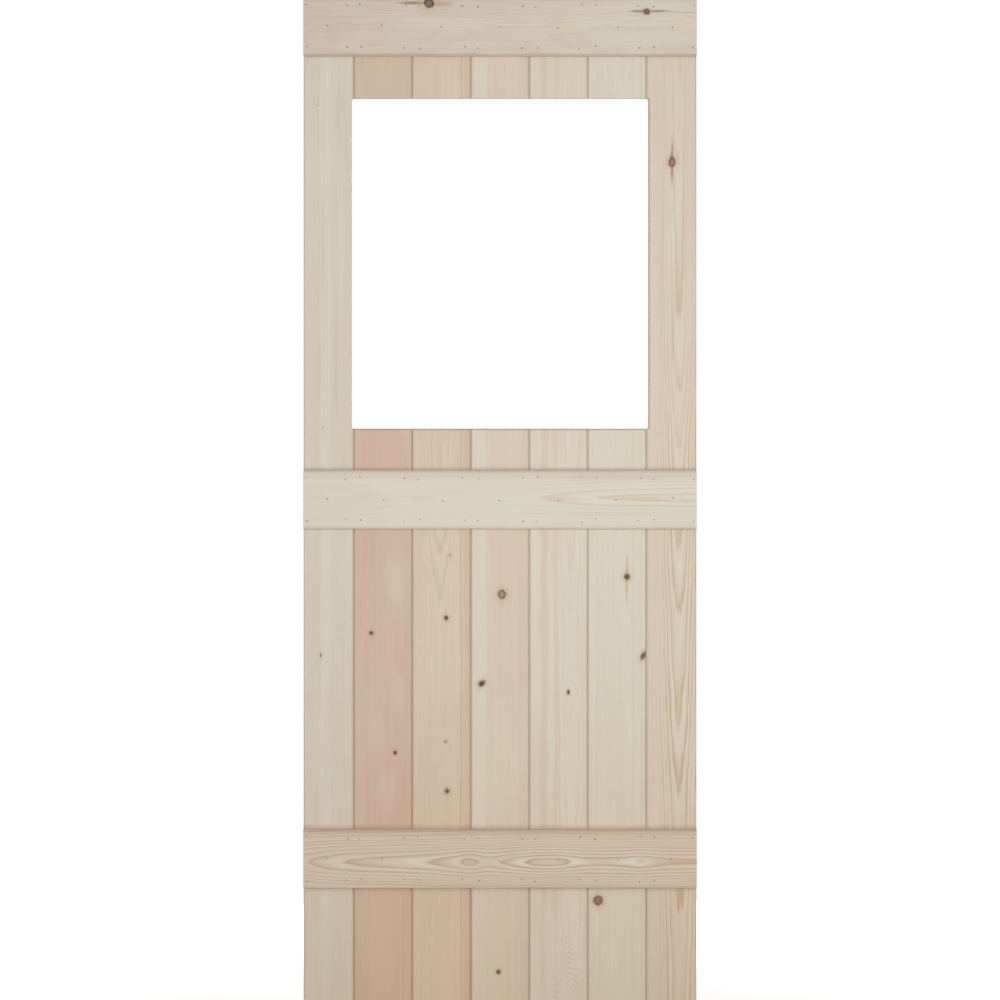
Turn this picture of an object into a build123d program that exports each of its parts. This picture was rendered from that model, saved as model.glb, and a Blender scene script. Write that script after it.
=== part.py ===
from build123d import *
import os

# A ledged door leaf: upright matchboards nailed to three level ledges, with an unglazed
# square light routed through the boards. Millimetres, +Z up, ledges on the -Y side.
# The origin is on the left (hanging) edge, at the foot, in the middle of the boards' thickness.

# Leaf
door_width = 762.0
door_height = 1981.0

# Matchboards
board_thickness = 20.0
board_cover = 113.5  # face width of a whole board, joint to joint
least_edge_cover = 60.0  # the trimmed boards at the two edges are never narrower than this

# Tongue-and-groove joint with a V on the boarded face
tongue_thickness = 6.0
tongue_length = 5.0
tongue_clearance = 0.25  # between each flank of the tongue and its groove
tongue_end_clearance = 0.5  # between the tip of the tongue and the bottom of its groove
joint_vee = 4.0  # chamfer of each board at the V
joint_arris = 2.0  # chamfer of each board on the ledge side
back_gap = 0.2  # the shoulders on the ledge side stand apart, so the V side closes tight

# Ledges
ledge_width = 115.0
ledge_thickness = 20.0
ledge_chamfer = 6.0  # along both long edges of the showing face
middle_ledge_height = 950.0  # lower edge above the foot of the door
bottom_ledge_height = 254.0

# Light opening between the top and middle ledges
opening_margin = 80.0  # board left showing above and below, to the ledges
opening_lap = 4.0  # how far it runs past the outermost joints into the edge boards

# Places that follow from the sizes above
whole_boards = int((door_width - 2 * least_edge_cover) // board_cover)
first_joint = (door_width - whole_boards * board_cover) / 2
joints = [first_joint + i * board_cover for i in range(whole_boards + 1)]

boarded_face = board_thickness / 2
ledge_side = -board_thickness / 2
tongue_middle = (joint_arris - joint_vee) / 2  # leaves equal shoulders on both sides of the tongue
tongue_back = tongue_middle - tongue_thickness / 2
groove_width = tongue_thickness + 2 * tongue_clearance
groove_depth = tongue_length + tongue_end_clearance

top_ledge_height = door_height - ledge_width
opening_left = joints[0] - opening_lap
opening_right = joints[-1] + opening_lap
opening_bottom = middle_ledge_height + ledge_width + opening_margin
opening_top = top_ledge_height - opening_margin
opening_corner_radius = opening_lap  # each rounded corner lies wholly in an edge board


def board_section(left, right, grooved, tongued):
    # Plan of one board between its two joint lines, or between a joint and a trimmed edge
    with BuildSketch() as section:
        with Locations(((left + right) / 2, 0)):
            Rectangle(right - left, board_thickness)
        front_left, front_right = section.vertices().group_by(Axis.Y)[-1].sort_by(Axis.X)
        chamfer(front_left, joint_vee if grooved else joint_arris)
        chamfer(front_right, joint_vee if tongued else joint_arris)
        if tongued:
            with Locations((right - back_gap, ledge_side)):
                Rectangle(
                    back_gap,
                    tongue_back - ledge_side,
                    align=(Align.MIN, Align.MIN),
                    mode=Mode.SUBTRACT,
                )
        chamfer(section.vertices().group_by(Axis.Y)[0], joint_arris)
        if tongued:
            with Locations((right - back_gap, tongue_middle)):
                Rectangle(
                    back_gap + tongue_length,
                    tongue_thickness,
                    align=(Align.MIN, Align.CENTER),
                )
        if grooved:
            with Locations((left, tongue_middle)):
                Rectangle(
                    groove_depth,
                    groove_width,
                    align=(Align.MIN, Align.CENTER),
                    mode=Mode.SUBTRACT,
                )
    return section.sketch


def make_edge_board(name, left, right, grooved, tongued):
    # A full-height board, trimmed along its outer edge, with the side of the light routed out of it
    with BuildPart() as board:
        with BuildSketch():
            add(board_section(left, right, grooved, tongued))
        extrude(amount=door_height)
        with BuildSketch(Plane.XZ):
            with Locations(((opening_left + opening_right) / 2, (opening_bottom + opening_top) / 2)):
                RectangleRounded(
                    opening_right - opening_left,
                    opening_top - opening_bottom,
                    opening_corner_radius,
                )
        extrude(amount=board_thickness, both=True, mode=Mode.SUBTRACT)
    finish(board.part, name)


def make_board(name, left, right, bottom, top):
    # A board of whole width, cut short where it meets the light
    with BuildPart() as board:
        with BuildSketch(Plane.XY.offset(bottom)):
            add(board_section(left, right, grooved=True, tongued=True))
        extrude(amount=top - bottom)
    finish(board.part, name)


def make_ledge(name, height):
    # A planed board across the whole leaf, seated on the backs of the matchboards
    with BuildPart() as ledge:
        with BuildSketch(Plane.YZ) as section:
            with Locations((ledge_side, height)):
                Rectangle(ledge_thickness, ledge_width, align=(Align.MAX, Align.MIN))
            chamfer(section.vertices().group_by(Axis.X)[0], ledge_chamfer)
        extrude(amount=door_width)
    finish(ledge.part, name)


def finish(part, name):
    part.label = name
    export_step(part, f"parts/{name}.step")


os.makedirs("parts", exist_ok=True)

make_edge_board("left_edge_board", 0, joints[0], grooved=False, tongued=True)
make_edge_board("right_edge_board", joints[-1], door_width, grooved=True, tongued=False)
for number, (left, right) in enumerate(zip(joints, joints[1:]), start=1):
    make_board(f"lower_board_{number}", left, right, 0, opening_bottom)
    make_board(f"upper_board_{number}", left, right, opening_top, door_height)

make_ledge("top_ledge", top_ledge_height)
make_ledge("middle_ledge", middle_ledge_height)
make_ledge("bottom_ledge", bottom_ledge_height)
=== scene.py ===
import math
import random

import bmesh
import bpy
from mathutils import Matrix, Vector


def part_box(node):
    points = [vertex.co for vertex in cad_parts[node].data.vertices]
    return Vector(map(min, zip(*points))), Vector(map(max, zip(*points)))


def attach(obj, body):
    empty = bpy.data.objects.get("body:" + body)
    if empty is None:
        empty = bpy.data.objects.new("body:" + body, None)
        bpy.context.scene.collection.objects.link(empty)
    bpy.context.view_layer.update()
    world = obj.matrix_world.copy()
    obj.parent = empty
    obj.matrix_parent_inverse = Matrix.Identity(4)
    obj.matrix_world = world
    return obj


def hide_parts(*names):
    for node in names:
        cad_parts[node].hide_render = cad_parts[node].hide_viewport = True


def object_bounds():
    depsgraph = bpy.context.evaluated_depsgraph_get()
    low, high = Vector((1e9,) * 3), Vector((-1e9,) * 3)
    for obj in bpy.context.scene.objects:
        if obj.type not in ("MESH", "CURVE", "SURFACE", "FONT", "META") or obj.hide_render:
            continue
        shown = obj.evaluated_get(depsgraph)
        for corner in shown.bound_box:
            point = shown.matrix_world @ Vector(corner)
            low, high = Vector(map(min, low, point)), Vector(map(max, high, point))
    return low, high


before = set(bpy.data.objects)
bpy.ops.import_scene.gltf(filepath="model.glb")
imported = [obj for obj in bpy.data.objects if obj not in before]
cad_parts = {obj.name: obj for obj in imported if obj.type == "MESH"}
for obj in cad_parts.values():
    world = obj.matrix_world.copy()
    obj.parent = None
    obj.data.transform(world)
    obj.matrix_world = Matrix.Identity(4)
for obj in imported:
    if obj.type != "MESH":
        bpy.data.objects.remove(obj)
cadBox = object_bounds()
scene = bpy.context.scene
scene.view_settings.view_transform = "Standard"
print("frame loaded:", len(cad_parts), "pieces of timber")

mm = 1000  # the frame is in metres, and the materials count in millimetres
leafWidth = cadBox[1].x
leafHeight = cadBox[1].z
lowerBoards = sorted(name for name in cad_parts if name.startswith("lower_board"))
jointLines = [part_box(name)[0].x for name in lowerBoards + ["right_edge_board"]]
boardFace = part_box("left_edge_board")[0].y
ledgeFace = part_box("top_ledge")[0].y


def paint(red, green, blue):  # screen colour 0-255 to the linear colour that shaders take
    def linear(value):
        value /= 255
        return value / 12.92 if value <= 0.04045 else ((value + 0.055) / 1.055) ** 2.4
    return (linear(red), linear(green), linear(blue), 1.0)


class Sum:  # a value socket that can be used in ordinary sums
    def __init__(self, tree, socket):
        self.tree = tree
        self.socket = socket

    def maths(self, operation, *terms):
        node = self.tree.nodes.new("ShaderNodeMath")
        node.operation = operation
        for slot, term in zip(node.inputs, terms):
            if isinstance(term, Sum):
                self.tree.links.new(term.socket, slot)
            else:
                slot.default_value = term
        return Sum(self.tree, node.outputs[0])

    def __add__(self, other):
        return self.maths("ADD", self, other)

    def __radd__(self, other):
        return self.maths("ADD", other, self)

    def __sub__(self, other):
        return self.maths("SUBTRACT", self, other)

    def __rsub__(self, other):
        return self.maths("SUBTRACT", other, self)

    def __mul__(self, other):
        return self.maths("MULTIPLY", self, other)

    def __rmul__(self, other):
        return self.maths("MULTIPLY", other, self)

    def __truediv__(self, other):
        return self.maths("DIVIDE", self, other)

    def __rtruediv__(self, other):
        return self.maths("DIVIDE", other, self)

    def __neg__(self):
        return self.maths("MULTIPLY", self, -1)

    def __abs__(self):
        return self.maths("ABSOLUTE", self)

    def root(self):
        return self.maths("SQRT", self)

    def part(self):
        return self.maths("FRACT", self)

    def whole(self):
        return self.maths("FLOOR", self)

    def wave(self):
        return self.maths("SINE", self)

    def most(self, other):
        return self.maths("MAXIMUM", self, other)

    def rise(self, low, high):  # 0 below low, 1 above high, eased between
        node = self.tree.nodes.new("ShaderNodeMapRange")
        node.interpolation_type = "SMOOTHSTEP"
        self.tree.links.new(self.socket, node.inputs["Value"])
        node.inputs["From Min"].default_value = low
        node.inputs["From Max"].default_value = high
        return Sum(self.tree, node.outputs["Result"])

    def between(self, low, full, fall, end):  # 1 from full to fall, 0 outside low and end
        return self.rise(low, full) * (1 - self.rise(fall, end))


class Nodes:  # a node tree, and the one way that nodes are added to it
    def __init__(self, tree):
        self.tree = tree
        tree.nodes.clear()

    def node(self, kind, settings=None, sockets=None):
        node = self.tree.nodes.new(kind)
        for key, value in (settings or {}).items():
            setattr(node, key, value)
        for key, value in (sockets or {}).items():
            slot = node.inputs[key]
            if isinstance(value, Sum):
                self.tree.links.new(value.socket, slot)
            elif isinstance(value, bpy.types.NodeSocket):
                self.tree.links.new(value, slot)
            else:
                slot.default_value = value
        return node

    def value(self, node, output=0):
        return Sum(self.tree, node.outputs[output])

    def axes(self, vector):  # the three parts of a vector
        split = self.node("ShaderNodeSeparateXYZ", None, {0: vector})
        return [self.value(split, number) for number in range(3)]

    def seen(self):  # 1 for what the camera, a reflection or glass sees, 0 for what lights the door
        path = self.node("ShaderNodeLightPath")
        direct = self.value(path, "Is Camera Ray").most(self.value(path, "Is Glossy Ray"))
        return direct.most(self.value(path, "Is Transmission Ray"))


class Finish(Nodes):  # one material and the nodes that go in it
    def __init__(self, name):
        self.material = bpy.data.materials.new(name)
        self.material.use_nodes = True
        super().__init__(self.material.node_tree)

    def place(self):  # the three Object coordinates, in millimetres
        spot = self.node("ShaderNodeTexCoord").outputs["Object"]
        return [part * mm for part in self.axes(spot)]

    def facing(self, axis):  # how far a face looks along one axis, -1 to 1
        return self.axes(self.node("ShaderNodeNewGeometry").outputs["True Normal"])[axis]

    def join(self, x, y, z):
        return self.node("ShaderNodeCombineXYZ", None, {0: x, 1: y, 2: z}).outputs[0]

    def noise(self, spot, scale, detail=1.0, rough=0.5):
        sockets = {"Vector": spot, "Scale": scale, "Detail": detail, "Roughness": rough}
        return self.node("ShaderNodeTexNoise", None, sockets)

    def mix(self, amount, first, second, blend="MIX"):
        settings = {"data_type": "RGBA", "blend_type": blend}
        return self.node("ShaderNodeMix", settings, {0: amount, 6: first, 7: second}).outputs[2]

    def curve(self, amount, points):  # points run over 0-1 both ways
        node = self.node("ShaderNodeFloatCurve", None, {"Value": amount})
        line = node.mapping.curves[0]
        line.points[0].location = points[0]
        line.points[-1].location = points[-1]
        for point in points[1:-1]:
            line.points.new(*point)
        node.mapping.update()
        return self.value(node)

    def close(self, shader):
        self.node("ShaderNodeOutputMaterial", None, {"Surface": shader})
        return self.material


# Pine. Lengths are in mm. A pair of numbers is where something starts and where it is full or gone.
pine = {
    "pale": paint(222, 215, 201),  # early wood
    "tan": paint(203, 174, 138),  # late wood
    "line": paint(172, 136, 100),  # dark end of each ring
    "lineDark": 0.75,
    "dustAndShade": paint(146, 118, 96),  # painted shade, joint dust and the light's dark line
    "blushShares": (0.9, 0.5, 0.35),  # of three noises, in the change from tone to blush
    "blushRise": (-0.22, 0.22),
    "bandSway": 5,
    "patchRag": (1.6, 1.2, 0.5),  # sideways, lengthways and in streaks
    "patchFade": (0.3, 1.1),
    "footHeight": 760,  # below this, painted shade makes the wood darker and warmer towards the floor
    "footShade": (0.99, 0.925, 0.87, 1),
    "poreRise": (0.64, 0.8),
    "poreDark": 0.09,
    "endTurn": (0.6, 0.9),  # how far a face looks along the grain where it is a saw-cut end
    "endDark": 0.16,
    "endWarm": 0.15,
    "shine": 0.3,
    "dull": 0.66,
    "lateDull": 0.08,
    "fibreDull": 0.12,
    "endDull": 0.12,
    "bump": 0.25,
    "bumpDepth": 0.0004,  # metres
    "lateRelief": 0.5,
    "fibreRelief": 0.8,
    "poreRelief": 0.4,
}
grainNoise = {  # width, length, detail and roughness
    "broad": (90, 480, 2.0, 0.5),
    "middling": (24, 95, 2.0, 0.5),
    "streaky": (6, 520, 3.0, 0.6),
    "fibre": (1.2, 70, 2.0, 0.6),
    "pores": (0.42, 11, 1.0, 0.5),
}
seedStep = 7.3  # how far apart two pieces lie in the noise
yearRing = {  # places in a ring run from 0, its pale start, to 1, its dark end
    "quickBunch": (1.9, 0.22),  # how often rings crowd together, and how much
    "slowBunch": (0.83, 0.25),
    "bunchFade": 2,
    "yearStep": 1.7,  # this and the next make some years darker than others
    "yearSpread": 3.7,
    "faintYear": 0.2,
    "faintPlace": 0.5,  # rings fade to this in places
    "placeRise": (-0.25, 0.15),
    "flameCore": 0.5,  # share of a flame's width that shows in full
    "lateFull": 0.95,
    "lineRise": (0.6, 0.94),
    "endFade": (0.94, 1.0),
    "paleSpan": (0.0, 0.12, 0.2, 0.6),
}
knotWood = {  # reaches are in knot radii
    "resin": paint(192, 148, 108),
    "body": paint(146, 104, 78),
    "grey": paint(116, 103, 92),
    "pale": paint(186, 156, 132),
    "dark": paint(62, 46, 38),
    "rag": 0.9,
    "ragScale": (0.2, 0.1),  # over the face, and into it
    "ringPush": (0.0, 4.0),
    "resinFade": (0.8, 2.8),
    "resinDark": 0.38,
    "bodyFade": (0.5, 1.35),
    "greyFade": (0.6, 1.4),
    "paleFade": (0.15, 0.75),
    "darkFade": (0.35, 1.2),
    "rimSpan": (0.45, 0.85, 0.9, 1.4),
    "rimGaps": (-0.25, 0.12),
    "rimLeast": 0.55,
    "tailStart": 0.5,
    "tailBody": 0.9,
}
lightLap = 4  # how far the light runs past the outermost joints
shadeAndMarks = {  # painted shade and light at the ledges and their bevels, joint dust and shade, a dark line
    "sideTurn": (0.5, 0.9),  # how far a face looks to the ledges' side
    "soft": 1,  # over which a mark begins or ends
    # how strong the painted shade above each ledge and the painted light below it are
    "ledges": [{"node": "middle_ledge", "cornerShade": 0.12, "paintedLight": 0.15},
               {"node": "bottom_ledge", "cornerShade": 0.3, "paintedLight": 0.35}],
    "shadeWidth": (2, 11),  # painted shade on the boards above a ledge
    "shadeRipple": 4,
    "litStripWidth": (1, 7),  # painted light on the boards below it
    "sill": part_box("lower_board_1")[1].z * mm,
    "head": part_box("upper_board_1")[0].z * mm,
    "jamb": jointLines[-1] * mm + lightLap,
    "darkLine": 0.6,  # dark line along two edges of the light
    "darkLineWidth": (2.0, 3.6),
    # dust and painted shade along the joints
    "jointDustShade": 0.18,
    "jointWidth": (1.0, 6.0),
    "jointWaver": 2,
    "jointReach": 70,  # a board's own joints are nearer its middle than this
    "bevelTurn": (0.2, 0.7, 0.85, 0.98),  # how far a face looks up or down where it is a bevel
}


class Pine(Finish):  # the finish of one piece of timber
    def __init__(self, name, look):
        super().__init__(name)
        self.look = look
        self.x, y, self.z = self.place()
        self.upright = look["lies"] == "upright"
        self.along, self.across = (self.z, self.x) if self.upright else (self.x, self.z)
        self.deep = y - look["face"]
        self.off = self.across - look["middle"]
        self.sway, self.swell, self.blush = self.channels(self.grain("broad"))
        self.ripple, self.waver, self.fade = self.channels(self.grain("middling"))
        self.streak, self.tint, self.shred = self.channels(self.grain("streaky"))
        self.fibre = self.value(self.grain("fibre")) - 0.5
        self.pores = self.value(self.grain("pores")).rise(*pine["poreRise"])

    def grain(self, kind):  # noise drawn out along the grain
        wide, long, detail, rough = grainNoise[kind]
        start = self.look["seed"] * seedStep
        spot = self.join(self.off * (1 / wide), self.deep * (1 / wide), self.along * (1 / long) + start)
        return self.noise(spot, 1.0, detail, rough)

    def channels(self, noise):  # three noises from the colours of one, each about 0
        split = self.node("ShaderNodeSeparateColor", None, {0: noise.outputs["Color"]})
        return [self.value(split, channel) - 0.5 for channel in range(3)]

    def alongCurve(self, points):  # 0-1, listed at places along the piece
        length = self.look["length"]
        return self.curve(self.along / length, [(place / length, amount) for place, amount in points])

    def knots(self):  # how much of each part of a knot shows, and how far the rings bend round it
        parts = {"resin": 0.0, "body": 0.0, "grey": 0.0, "pale": 0.0, "dark": 0.0}
        push = 0.0
        flat, inward = knotWood["ragScale"]
        spot = self.join(self.across * flat, self.deep * inward, self.along * flat)
        ragSide, ragLong, ragRim = self.channels(self.noise(spot, 1.0, 3.0, 0.6))
        least = knotWood["rimLeast"]
        broken = ragRim.rise(*knotWood["rimGaps"]) * (1 - least) + least
        for knot in self.look["knots"]:
            lengthways = self.along - knot["along"]
            sideways = self.across - knot["across"] - lengthways * knot["lean"]
            sideways = sideways / knot["wide"] + ragSide * knotWood["rag"]
            lengthways = lengthways / knot["tall"] + ragLong * knotWood["rag"]
            reach = (sideways * sideways + lengthways * lengthways).root()
            push = (1 - reach.rise(*knotWood["ringPush"])) * knot["push"] + push
            tail = 1 - abs(sideways + self.waver + self.shred).rise(0.0, knot["tailWidth"])
            tail = tail * (1 - abs(lengthways).rise(knotWood["tailStart"], knot["tail"])) * knot["tailDark"]
            resin = (1 - reach.rise(*knotWood["resinFade"])) * knotWood["resinDark"] * knot["cover"]
            body = (1 - reach.rise(*knotWood["bodyFade"])) * knot["cover"]
            grey = (1 - reach.rise(*knotWood["greyFade"])) * knot["grey"]
            pale = (1 - reach.rise(*knotWood["paleFade"])) * knot["pale"]
            dark = (1 - reach.rise(*knotWood["darkFade"])) * knot["dark"]
            rim = reach.between(*knotWood["rimSpan"]) * knot["rim"]
            parts["resin"] = resin.most(tail).most(parts["resin"])
            parts["body"] = body.most(tail * tail * knotWood["tailBody"]).most(parts["body"])
            parts["grey"] = grey.most(parts["grey"])
            parts["pale"] = pale.most(parts["pale"])
            parts["dark"] = (dark.most(rim) * broken).most(parts["dark"])
        return parts, push

    # Rings lie round a heart that runs behind the showing face. "heart" lists how deep it is at places
    # along the piece: where that depth passes a whole ring, the face shows the tip of a flame.
    def yearRings(self, push):  # how much late wood, dark end and pale start show
        look = self.look
        depths = [depth for place, depth in look["heart"]]
        low = min(depths)
        span = max(depths) - low
        heart = self.alongCurve([(place, (depth - low) / span) for place, depth in look["heart"]])
        sidePart = self.off - look["heartSide"] + self.sway * look["sway"]
        deepPart = heart * span + low - self.deep + self.swell * look["swell"]
        rings = (sidePart * sidePart + deepPart * deepPart).root() + self.ripple * look["ripple"]
        rings = rings + self.shred * look["shred"] + self.fibre * look["feather"] + push + look["phase"]
        rings = rings / look["ring"]
        often, much = yearRing["quickBunch"]
        seldom, more = yearRing["slowBunch"]
        bunch = (rings * often + look["seed"]).wave() * much + (rings * seldom).wave() * more
        rings = rings + bunch * rings.rise(look["evenRings"], look["evenRings"] + yearRing["bunchFade"])
        turn = rings.part()

        year = (rings.whole() * yearRing["yearStep"] + look["years"]).wave() * yearRing["yearSpread"]
        strong = year.part() * (1 - yearRing["faintYear"]) + yearRing["faintYear"]
        faint = yearRing["faintPlace"]
        strong = strong * (self.fade.rise(*yearRing["placeRise"]) * (1 - faint) + faint)
        beside = abs(sidePart).rise(look["flameWidth"] * yearRing["flameCore"], look["flameWidth"])
        strong = strong * (1 - beside * look["sidesFaint"])
        if look["strong"]:
            strong = strong * self.alongCurve(look["strong"])
        ending = 1 - turn.rise(*yearRing["endFade"])
        late = turn.rise(look["early"], yearRing["lateFull"]) * ending * strong
        line = turn.rise(*yearRing["lineRise"]) * ending * strong
        early = turn.between(*yearRing["paleSpan"]) * strong
        return late, line, early

    def stained(self):  # the ground colour of the piece, under its rings
        look = self.look
        blush, tint, waver = pine["blushShares"]
        change = self.blush * blush + self.tint * tint + self.waver * waver
        wood = self.mix(change.rise(*pine["blushRise"]), look["tone"], look["blush"])
        for band in look["bands"]:  # stripes that run the whole length
            place = self.off + self.waver * band["waver"] + self.sway * pine["bandSway"]
            stripe = place.between(band["from"], band["full"], band["fall"], band["end"])
            wood = self.mix(stripe * band["amount"], wood, band["tone"])
        ragSide, ragLong, ragStreak = pine["patchRag"]
        for patch in look["patches"]:  # stained or pale places
            sideways = (self.across - patch["across"]) / patch["wide"] + self.ripple * ragSide
            lengthways = (self.along - patch["along"]) / patch["tall"] + self.waver * ragLong
            lengthways = lengthways + self.shred * ragStreak
            reach = (sideways * sideways + lengthways * lengthways).root()
            wood = self.mix((1 - reach.rise(*pine["patchFade"])) * patch["amount"], wood, patch["tone"])
        for curl in look["curls"]:  # figure that runs across the grain
            crest = self.along * curl["pitch"] + self.off * curl["slant"]
            crest = (crest + self.ripple * curl["ripple"] + self.shred * curl["shred"]).wave()
            spread = 1 - self.along.rise(curl["top"] - curl["topFade"], curl["top"])
            spread = spread * self.off.rise(curl["left"], curl["left"] + curl["leftFade"])
            spread = spread * self.fade.rise(*curl["gaps"])
            wood = self.mix(crest.rise(*curl["crest"]) * spread * curl["amount"], wood, pine["tan"])
        return wood

    def boardShadeAndMarks(self, wood):  # wood with painted shade and marks, and painted light below ledges
        ledgeSide = (-self.facing(1)).rise(*shadeAndMarks["sideTurn"])
        soft = shadeAndMarks["soft"]
        paintedLight = 0.0
        for ledge in shadeAndMarks["ledges"]:
            bottom, top = (corner.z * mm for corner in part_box(ledge["node"]))
            # painted shade on the boards in the corner above the ledge
            near, far = shadeAndMarks["shadeWidth"]
            cornerShade = 1 - (self.z + self.ripple * shadeAndMarks["shadeRipple"]).rise(top + near, top + far)
            cornerShade = self.z.rise(top - soft, top) * cornerShade
            wood = self.mix(cornerShade * ledgeSide * ledge["cornerShade"], wood, pine["dustAndShade"])
            # painted light on the boards just below the ledge
            near, far = shadeAndMarks["litStripWidth"]
            litStrip = self.z.between(bottom - far, bottom - near, bottom, bottom + soft)
            paintedLight = litStrip * ledge["paintedLight"] + paintedLight
        if self.look["darkLineAt"]:
            wood = self.mix(self.darkLine() * ledgeSide * shadeAndMarks["darkLine"], wood, pine["dustAndShade"])
        # dust and painted shade on the boards along their joints
        for joint in jointLines:
            if abs(joint * mm - self.look["middle"]) < shadeAndMarks["jointReach"]:
                aside = abs(self.x - joint * mm + self.waver * shadeAndMarks["jointWaver"])
                near = 1 - aside.rise(*shadeAndMarks["jointWidth"])
                wood = self.mix(near * shadeAndMarks["jointDustShade"], wood, pine["dustAndShade"])
        return wood, paintedLight * ledgeSide

    def darkLine(self):  # a dark line along the sill or the jamb of the light
        near, far = shadeAndMarks["darkLineWidth"]
        soft = shadeAndMarks["soft"]
        if self.look["darkLineAt"] == "sill":
            return (self.z - shadeAndMarks["sill"]).between(-far, -near, 0, soft)
        beside = 1 - (self.x - shadeAndMarks["jamb"]).rise(near, far)
        sill, head = shadeAndMarks["sill"], shadeAndMarks["head"]
        return beside * self.z.between(sill - soft, sill, head, head + soft)

    def bevelShading(self, wood):  # wood with painted shade on both bevels, and painted light on the lower one
        slope = self.facing(2)
        over = slope.between(*shadeAndMarks["bevelTurn"])
        under = (-slope).between(*shadeAndMarks["bevelTurn"])
        bevelShade = over * self.look["topBevelShade"] + under * self.look["lowBevelShade"]
        return self.mix(bevelShade, wood, pine["dustAndShade"]), under * self.look["lowBevelLight"]

    def build(self):
        look = self.look
        parts, push = self.knots() if look["knots"] else ({}, 0.0)
        late, line, early = self.yearRings(push)
        wood = self.stained()
        wood = self.mix(early * look["contrast"] * look["paleLines"], wood, pine["pale"])
        wood = self.mix(late * look["contrast"], wood, pine["tan"])
        wood = self.mix(line * look["contrast"] * pine["lineDark"], wood, pine["line"])
        for part, amount in parts.items():
            wood = self.mix(amount, wood, knotWood[part])
        if self.upright:
            wood, paintedLight = self.boardShadeAndMarks(wood)
        # painted shade: the wood darker and warmer towards the floor
        wood = self.mix(1 - self.z.rise(0, pine["footHeight"]), wood, pine["footShade"], "MULTIPLY")
        if not self.upright:
            wood, paintedLight = self.bevelShading(wood)

        sawn = abs(self.facing(2 if self.upright else 0)).rise(*pine["endTurn"])
        shade = 1 + self.fibre * look["fibre"] + self.streak * look["streak"]
        # the painted light below the ledges and on the lower bevels is added here
        shade = shade - self.pores * pine["poreDark"] - sawn * pine["endDark"] + paintedLight
        warm = 1 + sawn * pine["endWarm"]
        wood = self.node("ShaderNodeHueSaturation", None, {"Saturation": warm, "Value": shade, "Color": wood})
        relief = late * pine["lateRelief"] + self.fibre * pine["fibreRelief"]
        relief = relief - self.pores * pine["poreRelief"]
        bump = self.node("ShaderNodeBump", None, {"Strength": pine["bump"], "Distance": pine["bumpDepth"],
                                                  "Height": relief})
        dull = pine["dull"] - late * pine["lateDull"] + self.fibre * pine["fibreDull"]
        dull = dull + sawn * pine["endDull"]
        skin = self.node("ShaderNodeBsdfPrincipled", None,
                         {"Base Color": wood.outputs[0], "Roughness": dull, "Normal": bump.outputs[0],
                          "Specular IOR Level": pine["shine"]})
        return self.close(skin.outputs[0])


def knotAt(across, along, wide, tall, dark=0.85, pale=0.0, **other):
    knot = {"across": across, "along": along, "wide": wide, "tall": tall, "dark": dark, "pale": pale,
            "grey": 0.0, "rim": 0.3, "cover": 0.9, "lean": 0.0, "push": 2.5,
            "tail": 4.0, "tailWidth": 1.0, "tailDark": 0.3}
    return dict(knot, **other)


def faintKnot(across, along, wide, tall):
    return knotAt(across, along, wide, tall, 0.15, cover=0.2, rim=0.1, tailDark=0.1)


def bandAt(start, full, fall, end, amount, tone, waver=3):
    return {"from": start, "full": full, "fall": fall, "end": end, "amount": amount, "tone": tone,
            "waver": waver}


def patchAt(across, along, wide, tall, amount, tone):
    return {"across": across, "along": along, "wide": wide, "tall": tall, "amount": amount, "tone": tone}


# What every board has, unless its own dictionary says otherwise. Places are mm on the door.
boardLook = {
    "lies": "upright",
    "face": boardFace * mm,
    "length": leafHeight * mm,
    "ring": 4.5,  # width of a year's growth
    "evenRings": 0,  # rings nearer the heart than this are all as wide
    "phase": 0,
    "years": 3,
    "early": 0.35,
    "sway": 14,
    "swell": 8,
    "ripple": 3,
    "shred": 3,
    "feather": 1.2,
    "contrast": 0.12,
    "paleLines": 0.5,
    "strong": [],  # how strong the rings are at places along the piece
    "flameWidth": 60,
    "sidesFaint": 0.5,
    "fibre": 0.13,
    "streak": 0.1,
    "bands": [],
    "patches": [],
    "curls": [],
    "knots": [],
    "darkLineAt": "sill",
}
pinkTan = paint(205, 182, 158)

# The seven upright boards from left to right; the whole ones go on above and below the light.
leftEdge = dict(
    boardLook, nodes=["left_edge_board"], darkLineAt="", middle=48, seed=1,
    tone=paint(210, 202, 185), blush=paint(208, 195, 178),
    heart=[(0, 95), (700, 90), (1300, 94), (1981, 86)], heartSide=-70, contrast=0.15, shred=6,
    bands=[bandAt(-20, -10, 0, 14, 0.5, paint(214, 208, 193))],
    patches=[patchAt(38, 1500, 4, 110, 0.4, pinkTan),
             patchAt(62, 1300, 4, 140, 0.35, pinkTan),
             patchAt(30, 1250, 5, 90, 0.35, pinkTan),
             patchAt(72, 1480, 10, 160, 0.4, paint(214, 208, 193)),
             patchAt(50, 620, 5, 120, 0.3, pinkTan)],
    knots=[knotAt(33.4, 705.5, 1.8, 4.5, 0.35, cover=0.6, tail=5),
           faintKnot(27, 1772, 2, 2.4),
           faintKnot(37.6, 1148, 2, 2.6)])
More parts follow.
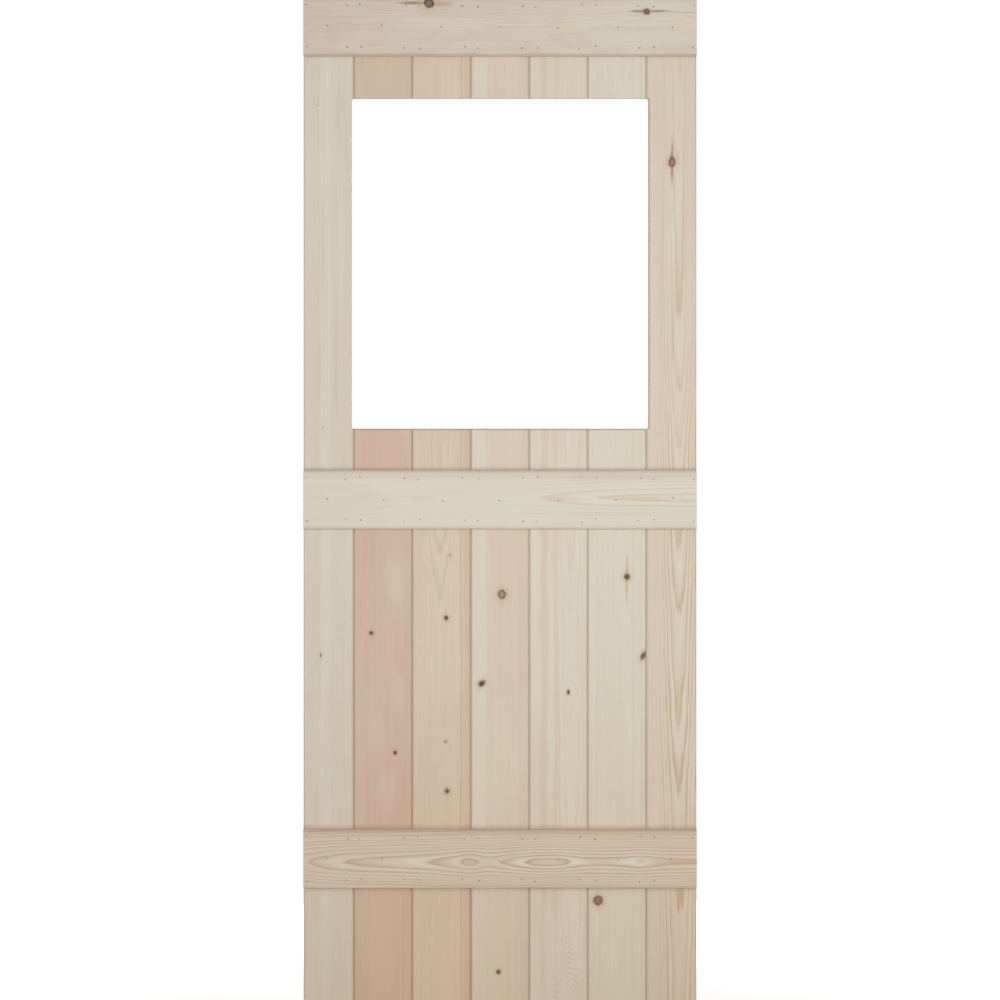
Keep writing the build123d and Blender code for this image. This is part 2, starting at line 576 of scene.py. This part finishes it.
pinkBoard = dict(
    boardLook, nodes=["lower_board_1", "upper_board_1"], middle=154, seed=2,
    tone=paint(205, 182, 162), blush=paint(201, 173, 154),
    heart=[(0, 70), (900, 64), (1981, 70)], heartSide=95, contrast=0.06, shred=6,
    patches=[patchAt(180, 850, 24, 75, 0.55, paint(209, 192, 172)),
             patchAt(140, 560, 20, 60, 0.5, paint(209, 192, 172)),
             patchAt(185, 640, 16, 60, 0.45, paint(210, 193, 174)),
             patchAt(160, 440, 30, 40, 0.4, paint(209, 190, 171)),
             patchAt(130, 700, 18, 70, 0.45, paint(203, 171, 153)),
             patchAt(165, 190, 30, 60, 0.35, paint(208, 178, 158)),
             patchAt(154, 1850, 70, 90, 0.5, paint(206, 188, 165))],
    knots=[knotAt(131.1, 748.5, 4.0, 4.4), knotAt(177.5, 516.5, 4.0, 4.4)])
flameBoard = dict(
    boardLook, nodes=["lower_board_2", "upper_board_2"], middle=267.5, seed=3,
    tone=paint(212, 195, 173), blush=paint(208, 188, 167),
    heart=[(0, 49), (600, 47), (815, 44), (896, 40), (1000, 36.5), (1981, 33)], heartSide=-3,
    ring=4, evenRings=12, years=9.8, sway=4, swell=2, contrast=0.34, flameWidth=30, sidesFaint=0.85,
    strong=[(0, 0.15), (700, 0.25), (800, 0.9), (1000, 1), (1200, 0.4), (1981, 0.3)],
    bands=[bandAt(36, 46, 54, 58, 0.55, paint(204, 176, 148)),
           bandAt(36, 37.5, 38, 40, 0.45, paint(180, 148, 120))],
    knots=[knotAt(276.6, 777.8, 4.6, 5),
           knotAt(278, 442, 4.8, 5, 0.7),
           knotAt(275.3, 538, 2.6, 2.8, 0.2, cover=0.6, rim=0.2),
           knotAt(284, 900, 2.6, 3, 0.1, cover=0.4, rim=0.15)])
creamBoard = dict(
    boardLook, nodes=["lower_board_3", "upper_board_3"], middle=381, seed=4,
    tone=paint(213, 199, 182), blush=paint(211, 193, 174),
    heart=[(0, 80), (981, 76), (1981, 84)], heartSide=70, contrast=0.09, shred=6,
    bands=[bandAt(-56, -50, -32, -22, 0.6, paint(215, 207, 190)),
           bandAt(20, 50, 56, 60, 0.4, paint(208, 187, 168))],
    patches=[patchAt(378, 500, 60, 130, 0.55, paint(213, 202, 179)),
             patchAt(372, 120, 60, 170, 0.5, paint(216, 205, 180))],
    knots=[knotAt(384.9, 823.4, 7.6, 8.2, 0.1, 0.7, rim=0.6),
           knotAt(345.7, 650.8, 6.6, 6.2, 0.98, lean=0.3),
           knotAt(377.9, 91.2, 4.4, 4.6, 0.7)])
curlyBoard = dict(
    boardLook, nodes=["lower_board_4", "upper_board_4"], middle=494.5, seed=5,
    tone=paint(215, 206, 189), blush=paint(213, 200, 181),
    heart=[(0, 46), (250, 44), (500, 41), (764, 40), (1000, 37.5), (1300, 36), (1981, 33)], heartSide=24,
    ring=4, evenRings=13, years=7.7, swell=6, shred=4, contrast=0.16, flameWidth=44, sidesFaint=0.7,
    bands=[bandAt(-40, -30, -26, -16, 0.5, pinkTan, 16), bandAt(-12, -7, -5, 3, 0.4, pinkTan, 14)],
    patches=[patchAt(494, 90, 70, 200, 0.5, paint(219, 212, 200))],
    curls=[{"top": 250, "topFade": 60, "left": -30, "leftFade": 20, "pitch": 0.62, "slant": 0.2,
            "ripple": 18, "shred": 7, "crest": (0.1, 1.0), "gaps": (-0.1, 0.15), "amount": 0.45}],
    knots=[knotAt(513.5, 633.9, 2.8, 5.2)])
paleBoard = dict(
    boardLook, nodes=["lower_board_5", "upper_board_5"], middle=608, seed=6,
    tone=paint(214, 207, 189), blush=paint(212, 202, 184),
    heart=[(0, 88), (981, 82), (1981, 90)], heartSide=-75, contrast=0.09, shred=6,
    bands=[bandAt(28, 30, 31, 34, 0.25, pinkTan), bandAt(44, 46, 47, 50, 0.25, pinkTan)],
    knots=[knotAt(627.4, 857.7, 5.9, 6.4, 0.95, tail=11, tailWidth=0.8, tailDark=0.5),
           knotAt(658.8, 704.3, 5.0, 8.0, 0.75, lean=0.3),
           knotAt(571.3, 229.8, 8.4, 8.8, 0.2, 0.2, rim=0.68, push=4)])
rightEdge = dict(
    boardLook, nodes=["right_edge_board"], darkLineAt="jamb", middle=713.4, seed=7,
    tone=paint(213, 200, 182), blush=paint(211, 195, 176),
    heart=[(0, 53.5), (202, 51), (458, 48), (574, 45), (760, 42), (900, 39), (1113, 36), (1212, 33),
           (1352, 30), (1700, 27.5), (1981, 26)], heartSide=15,
    ring=3, evenRings=18, years=94.45, sway=5, swell=1.5, ripple=2.4, shred=2, feather=0.8,
    contrast=0.65, flameWidth=46, sidesFaint=0.75,
    strong=[(0, 1), (300, 1), (900, 1), (1300, 0.9), (1700, 0.5), (1981, 0.4)],
    patches=[patchAt(718, 1560, 20, 130, 0.6, paint(213, 207, 188)),
             patchAt(737, 1480, 5, 130, 0.5, paint(206, 181, 153)),
             patchAt(696, 1460, 4, 150, 0.45, paint(206, 181, 153)),
             patchAt(716, 1330, 4, 130, 0.5, paint(206, 178, 148))],
    knots=[knotAt(714.7, 1662.4, 6.4, 9, 0.2, 0.5, rim=0.7, tail=7.5, tailWidth=0.75, tailDark=0.95)])
boards = [leftEdge, pinkBoard, flameBoard, creamBoard, curlyBoard, paleBoard, rightEdge]

# The ledges lie level, so their grain runs across the door.
ledgeLook = dict(boardLook, lies="level", face=ledgeFace * mm, length=leafWidth * mm, sway=5, swell=3,
                 sidesFaint=0.3, paleLines=1.0)
yellow = paint(213, 194, 158)
streakGrey = paint(146, 122, 98)
# Each ledge's bevel numbers give painted shade on its upper and lower bevels and painted light on its lower
# one.
topLedge = dict(
    ledgeLook, nodes=["top_ledge"], middle=1923.5, seed=11,
    tone=paint(211, 201, 184), blush=paint(205, 188, 172),
    heart=[(0, 60), (190, 52), (400, 62), (620, 54), (762, 58)], heartSide=-20,
    ring=5, sway=24, swell=18, ripple=9, contrast=0.24, topBevelShade=0.1, lowBevelShade=0.25, lowBevelLight=0.0,
    patches=[patchAt(1924.3, 84, 4, 15, 0.65, yellow),
             patchAt(1922.4, 507, 8, 32, 0.65, yellow),
             patchAt(1924, 592, 5, 12, 0.7, yellow),
             patchAt(1926, 720, 5, 42, 0.7, yellow),
             patchAt(1969, 212, 4, 42, 0.9, streakGrey),
             patchAt(1968, 270, 6, 26, 0.6, paint(182, 146, 122)),
             patchAt(1953, 650, 3.6, 26, 0.8, streakGrey),
             patchAt(1953, 686, 3.6, 30, 0.8, streakGrey),
             patchAt(1951, 740, 1.2, 40, 0.5, streakGrey)],
    knots=[knotAt(1969, 243.3, 8.2, 8.8, 0.35, 0.3, grey=0.8, rim=0.9, push=5, tailDark=0.4),
           knotAt(1952.5, 665, 5.4, 6, 0.3, 0.2, grey=0.9, rim=0.5, push=3)])
middleLedge = dict(
    ledgeLook, nodes=["middle_ledge"], middle=1007.5, seed=12,
    tone=paint(216, 209, 193), blush=paint(213, 206, 190),
    heart=[(0, 30.5), (300, 27.5), (454.7, 24.5), (579, 19), (762, 16.5)], heartSide=4,
    ring=5.5, evenRings=6, phase=3, years=89.1, sway=3, swell=1.2, ripple=2, shred=2.5, contrast=0.36,
    topBevelShade=0.0, lowBevelShade=0.12, lowBevelLight=0.15,
    strong=[(0, 0.15), (300, 0.2), (454.7, 0.6), (579, 1), (762, 0.9)],
    bands=[bandAt(34, 46, 58, 60, 0.4, paint(202, 184, 166))],
    patches=[patchAt(1052, 620, 6, 190, 0.4, paint(203, 180, 164)),
             patchAt(1010, 84, 6, 40, 0.3, pinkTan),
             patchAt(1010, 225, 5, 34, 0.3, pinkTan),
             patchAt(1000, 40, 60, 150, 0.6, paint(207, 199, 182)),
             patchAt(1008, 655, 5, 70, 0.7, yellow),
             patchAt(1009, 500, 7, 50, 0.4, pinkTan)])
bottomLedge = dict(
    ledgeLook, nodes=["bottom_ledge"], middle=311.5, seed=13,
    tone=paint(209, 195, 178), blush=paint(205, 188, 169),
    heart=[(0, 33), (8.5, 32), (78, 27), (234, 22), (303, 17), (322, 15.1), (341, 17), (361, 18.6), (381, 17),
           (428, 12), (474, 9.1), (521, 12), (560, 14.5), (610, 14), (640, 12.3), (652.6, 11.6), (665, 12.3),
           (700, 15), (762, 16)], heartSide=-6,
    ring=5, evenRings=7, phase=3, years=10.05, sway=3, swell=0.8, ripple=1.6, shred=2.2, contrast=0.75,
    topBevelShade=0.22, lowBevelShade=0.0, lowBevelLight=0.35,
    bands=[bandAt(40, 48, 58, 60, 0.5, paint(190, 168, 146))],
    patches=[patchAt(305.5, 600, 7, 95, 0.7, paint(214, 211, 202))])
ledges = [topLedge, middleLedge, bottomLedge]

dressing = {  # metres, and radians between two faces
    "boardArris": 0.0004,
    "ledgeArris": 0.0006,
    "arrisSteps": 2,
    "sharp": 0.4,
    "ledgeRound": 0.0028,  # how far the ledges' long bevels are rounded over
    "roundSteps": 4,
    "bevel": (0.6, 1.0),
    "bevelLength": 0.5,
    "weld": 1e-6,
    "flat": 0.01,
}


def ease(mesh, chosen, offset, steps):
    bmesh.ops.bevel(mesh, geom=chosen, offset=offset, offset_type="OFFSET", segments=steps, profile=0.5,
                    affect="EDGES", clamp_overlap=True)


def dressed(nodeName, arris, soften=0):  # a copy of a CAD piece with its sharp edges just taken off
    mesh = bmesh.new()
    mesh.from_mesh(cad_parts[nodeName].data)
    bmesh.ops.remove_doubles(mesh, verts=mesh.verts, dist=dressing["weld"])
    bmesh.ops.dissolve_limit(mesh, angle_limit=dressing["flat"], verts=mesh.verts, edges=mesh.edges)
    if soften:
        least, most = dressing["bevel"]
        long = [edge for edge in mesh.edges if edge.calc_length() > dressing["bevelLength"]]
        sloped = [edge for edge in long if least < edge.calc_face_angle(0) < most]
        ease(mesh, sloped, soften, dressing["roundSteps"])
    sharp = [edge for edge in mesh.edges if edge.calc_face_angle(0) > dressing["sharp"]]
    ease(mesh, sharp, arris, dressing["arrisSteps"])
    data = bpy.data.meshes.new(nodeName + ".timber")
    mesh.to_mesh(data)
    mesh.free()
    piece = bpy.data.objects.new(nodeName + ".timber", data)
    scene.collection.objects.link(piece)
    return piece


def settle(piece, node, material):  # one finished piece in place of its CAD node
    piece.data.materials.clear()
    piece.data.materials.append(material)
    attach(piece, "root")
    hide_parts(node)


for number, look in enumerate(boards, start=1):
    timber = Pine("pineBoard%d" % number, look).build()
    for node in look["nodes"]:
        settle(dressed(node, dressing["boardArris"]), node, timber)
print("boards dressed")

nails = {  # metres
    "rowFromMiddle": 0.041,  # two outer rows of each ledge
    "besideJoint": 0.0138,
    "fromEdge": 0.0065,
    "wander": 0.0030,
    "edgeZone": 0.02,  # nails this near the edge wander less along the ledge
    "edgeWander": 0.4,
    "holeRadius": 0.0017,
    "holeRings": ((1.15, -0.0006), (0.95, 0.0012)),  # mouth and floor: share of the radius, and depth
    "holeSides": 10,
    "headRadius": 0.0014,
    "headDepth": 0.0006,
    "headSides": 12,
    "crown": 0.72,  # the flat top's share of the radius
    "sizes": (0.88, 1.08),
    "sunk": 0.0003,
    "seed": 21,
}
steel = {
    "dark": paint(128, 118, 106),
    "bright": paint(156, 146, 132),
    "brightRise": (0.35, 0.7),
    "fleckScale": 0.9,
    "filler": paint(196, 184, 166),  # some heads are stopped with it
    "fillerCover": 0.5,
    "fillerScale": 0.03,
    "fillerRise": (0.4, 0.65),
    "dull": 0.45,
    "fleckDull": 0.2,
    "metal": 0.2,
    "fleckMetal": 0.5,
    "metalRise": (0.2, 0.5),
}


def nailPlaces(ledgeNode, draw):  # two nails a board in the outer rows, one in the middle row
    low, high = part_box(ledgeNode)
    middle = (low.z + high.z) / 2
    wander = nails["wander"]
    lines = [0.0] + jointLines + [leafWidth]
    outer = [nails["fromEdge"], leafWidth - nails["fromEdge"]]
    for line in jointLines:
        outer += [line - nails["besideJoint"], line + nails["besideJoint"]]
    outer.sort()
    inner = [(left + right) / 2 for left, right in zip(lines, lines[1:])]
    places = []
    for row, spots in ((nails["rowFromMiddle"], outer), (0.0, inner), (-nails["rowFromMiddle"], outer)):
        for spot in spots:
            inside = nails["edgeZone"] < spot < leafWidth - nails["edgeZone"]
            x = spot + draw.uniform(-1, 1) * wander * (1.0 if inside else nails["edgeWander"])
            z = middle + row + draw.uniform(-1, 1) * wander
            places.append(Vector((x, low.y, z)))
    return places


def nailHoles(places):  # a small tapered plug for each nail
    mesh = bmesh.new()
    turns = range(nails["holeSides"])
    for place in places:
        rings = []
        for share, depth in nails["holeRings"]:
            radius = nails["holeRadius"] * share
            angles = [turn * math.tau / nails["holeSides"] for turn in turns]
            spots = [(place.x + radius * math.cos(angle), place.y + depth, place.z + radius * math.sin(angle))
                     for angle in angles]
            rings.append([mesh.verts.new(spot) for spot in spots])
        mouth, floor = rings
        mesh.faces.new(mouth)
        mesh.faces.new(list(reversed(floor)))
        for turn in turns:
            after = (turn + 1) % nails["holeSides"]
            mesh.faces.new((mouth[turn], floor[turn], floor[after], mouth[after]))
    bmesh.ops.recalc_face_normals(mesh, faces=mesh.faces)
    data = bpy.data.meshes.new("punch")
    mesh.to_mesh(data)
    mesh.free()
    return data


def plainMesh(piece):  # gives the piece what its modifiers make, as a mesh of its own
    view = bpy.context.evaluated_depsgraph_get()
    made = bpy.data.meshes.new_from_object(piece.evaluated_get(view))
    piece.modifiers.clear()
    piece.data = made


def punch(ledge, places):  # sinks a hole for each nail
    cutter = bpy.data.objects.new("punch", nailHoles(places))
    scene.collection.objects.link(cutter)
    cut = ledge.modifiers.new("holes", "BOOLEAN")
    cut.operation = "DIFFERENCE"
    cut.solver = "EXACT"
    cut.object = cutter
    plainMesh(ledge)
    bpy.data.objects.remove(cutter)


def nailTree(material):  # nail heads on the points of a mesh
    tree = bpy.data.node_groups.new("nailHeads", "GeometryNodeTree")
    face = tree.interface
    face.new_socket("Geometry", in_out="INPUT", socket_type="NodeSocketGeometry")
    for label, value in (("Head Radius", nails["headRadius"]), ("Head Depth", nails["headDepth"])):
        face.new_socket(label, in_out="INPUT", socket_type="NodeSocketFloat").default_value = value
    face.new_socket("Seed", in_out="INPUT", socket_type="NodeSocketInt").default_value = nails["seed"]
    face.new_socket("Geometry", in_out="OUTPUT", socket_type="NodeSocketGeometry")

    heads = Nodes(tree)
    given = heads.node("NodeGroupInput")
    radius = heads.value(given, "Head Radius")
    head = heads.node("GeometryNodeMeshCone", None,
                      {"Vertices": nails["headSides"], "Side Segments": 1, "Radius Bottom": radius,
                       "Radius Top": radius * nails["crown"], "Depth": given.outputs["Head Depth"]})
    turned = heads.node("GeometryNodeTransform", None,
                        {"Geometry": head.outputs["Mesh"], "Rotation": (math.pi / 2, 0, 0)})
    least, most = nails["sizes"]
    size = heads.node("FunctionNodeRandomValue", {"data_type": "FLOAT"},
                      {2: least, 3: most, "Seed": given.outputs["Seed"]})
    placed = heads.node("GeometryNodeInstanceOnPoints", None,
                        {"Points": given.outputs["Geometry"], "Instance": turned.outputs["Geometry"],
                         "Scale": size.outputs[1]})
    real = heads.node("GeometryNodeRealizeInstances", None, {"Geometry": placed.outputs["Instances"]})
    coated = heads.node("GeometryNodeSetMaterial", None,
                        {"Geometry": real.outputs["Geometry"], "Material": material})
    heads.node("NodeGroupOutput", None, {"Geometry": coated.outputs["Geometry"]})
    return tree


def steelFinish():
    fin = Finish("nailSteel")
    spot = fin.join(*fin.place())
    fleck = fin.value(fin.noise(spot, steel["fleckScale"], 3.0))
    stopped = fin.value(fin.noise(spot, steel["fillerScale"], 1.0)).rise(*steel["fillerRise"])
    colour = fin.mix(fleck.rise(*steel["brightRise"]), steel["dark"], steel["bright"])
    colour = fin.mix(stopped * steel["fillerCover"], colour, steel["filler"])
    dull = steel["dull"] + fleck * steel["fleckDull"]
    metal = fleck.rise(*steel["metalRise"]) * steel["fleckMetal"] + steel["metal"]
    skin = fin.node("ShaderNodeBsdfPrincipled", None,
                    {"Base Color": colour, "Roughness": dull, "Metallic": metal})
    return fin.close(skin.outputs[0])


def nailHeads(node, places, tree, seed):
    inward = Vector((0, nails["sunk"] + nails["headDepth"], 0))
    points = bpy.data.meshes.new("nailPoints")
    points.from_pydata([place + inward for place in places], [], [])
    row = bpy.data.objects.new(node + ".nails", points)
    scene.collection.objects.link(row)
    setting = row.modifiers.new("heads", "NODES")
    setting.node_group = tree
    for socket in tree.interface.items_tree:
        if socket.in_out == "INPUT" and socket.name == "Seed":
            setting[socket.identifier] = seed
    plainMesh(row)
    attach(row, "root")


headTree = nailTree(steelFinish())
draw = random.Random(nails["seed"])
for number, look in enumerate(ledges, start=1):
    node = look["nodes"][0]
    places = nailPlaces(node, draw)
    ledge = dressed(node, dressing["ledgeArris"], dressing["ledgeRound"])
    punch(ledge, places)
    settle(ledge, node, Pine("pineLedge%d" % number, look).build())
    nailHeads(node, places, headTree, nails["seed"] + number)
    print(node, "nailed:", len(places), "nails")

# Floor, light and camera
studio = {
    "floorRadius": 3.2,
    "floorSides": 96,
    "floorDrop": 0.0005,
    "floorGrey": paint(190, 189, 186),
    "floorDarker": paint(158, 158, 156),
    "mottleScale": 0.004,
    "floorGlow": 0.7,  # beside the door, where the shadow shows
    "glowRise": (700, 1900),  # mm away, where the floor turns as white as the backdrop
    "ambient": 0.525,
    "ceilingDim": 0.4,
    "ceilingRise": (0.1, 0.9),
    "softboxSize": 2.2,
    "front": {"place": (0.6, -3.0, 0.95), "aimHeight": 0.95, "watts": 64},
    "rear": {"place": (0.0, 3.0, 1.1), "aimHeight": 1.0, "watts": 62},
    "lens": 200,
    "sensor": 36,
    "farClip": 100,
    "frameHeight": 1.940,  # height of the picture at the boards
    "frameMiddle": 1.0067,
}
white = (1, 1, 1, 1)
leafMiddle = leafWidth / 2


def floorFinish():
    fin = Finish("paleFloor")
    x, y, z = fin.place()
    mottle = fin.value(fin.noise(fin.join(x, y, z), studio["mottleScale"], 3.0))
    grey = fin.mix(mottle, studio["floorGrey"], studio["floorDarker"])
    matt = fin.node("ShaderNodeBsdfDiffuse", None, {"Color": grey})
    away = (x * x + y * y).root().rise(*studio["glowRise"])
    level = away * (1 - studio["floorGlow"]) + studio["floorGlow"]
    glow = fin.node("ShaderNodeEmission", None, {"Color": white, "Strength": fin.seen() * level})
    both = fin.node("ShaderNodeAddShader", None, {0: matt.outputs[0], 1: glow.outputs[0]})
    return fin.close(both.outputs[0])


def makeFloor():
    disc = bmesh.new()
    bmesh.ops.create_circle(disc, cap_ends=True, segments=studio["floorSides"], radius=studio["floorRadius"])
    data = bpy.data.meshes.new("floor")
    disc.to_mesh(data)
    disc.free()
    data.materials.append(floorFinish())
    floor = bpy.data.objects.new("floor", data)
    floor.location = (leafMiddle, 0, -studio["floorDrop"])
    scene.collection.objects.link(floor)


def makeSky():  # white to look at, and a soft light on the door that is dimmer from above
    world = bpy.data.worlds.new("studio")
    world.use_nodes = True
    scene.world = world
    sky = Nodes(world.node_tree)
    seen = sky.seen()
    height = sky.axes(sky.node("ShaderNodeTexCoord").outputs["Generated"])[2]
    around = (1 - height.rise(*studio["ceilingRise"]) * studio["ceilingDim"]) * studio["ambient"]
    strength = seen + (1 - seen) * around
    backing = sky.node("ShaderNodeBackground", None, {"Color": white, "Strength": strength})
    sky.node("ShaderNodeOutputWorld", None, {"Surface": backing.outputs[0]})


def makeSoftbox(name):
    lamp = bpy.data.lights.new(name, "AREA")
    lamp.shape = "SQUARE"
    lamp.size = studio["softboxSize"]
    lamp.energy = studio[name]["watts"]
    holder = bpy.data.objects.new(name, lamp)
    place = Vector(studio[name]["place"])
    target = Vector((leafMiddle, 0, studio[name]["aimHeight"]))
    holder.location = place
    holder.rotation_mode = "QUATERNION"
    holder.rotation_quaternion = (target - place).to_track_quat("-Z", "Y")
    holder.visible_camera = False
    scene.collection.objects.link(holder)


def makeCamera():
    camera = bpy.data.cameras.new("camera")
    camera.lens = studio["lens"]
    camera.sensor_width = studio["sensor"]
    camera.clip_end = studio["farClip"]
    eye = bpy.data.objects.new("camera", camera)
    distance = studio["frameHeight"] * studio["lens"] / studio["sensor"]
    eye.location = (leafMiddle, boardFace - distance, studio["frameMiddle"])
    eye.rotation_euler = (math.pi / 2, 0, 0)
    scene.collection.objects.link(eye)
    scene.camera = eye


makeFloor()
makeSky()
makeSoftbox("front")
makeSoftbox("rear")
makeCamera()
print("studio ready")
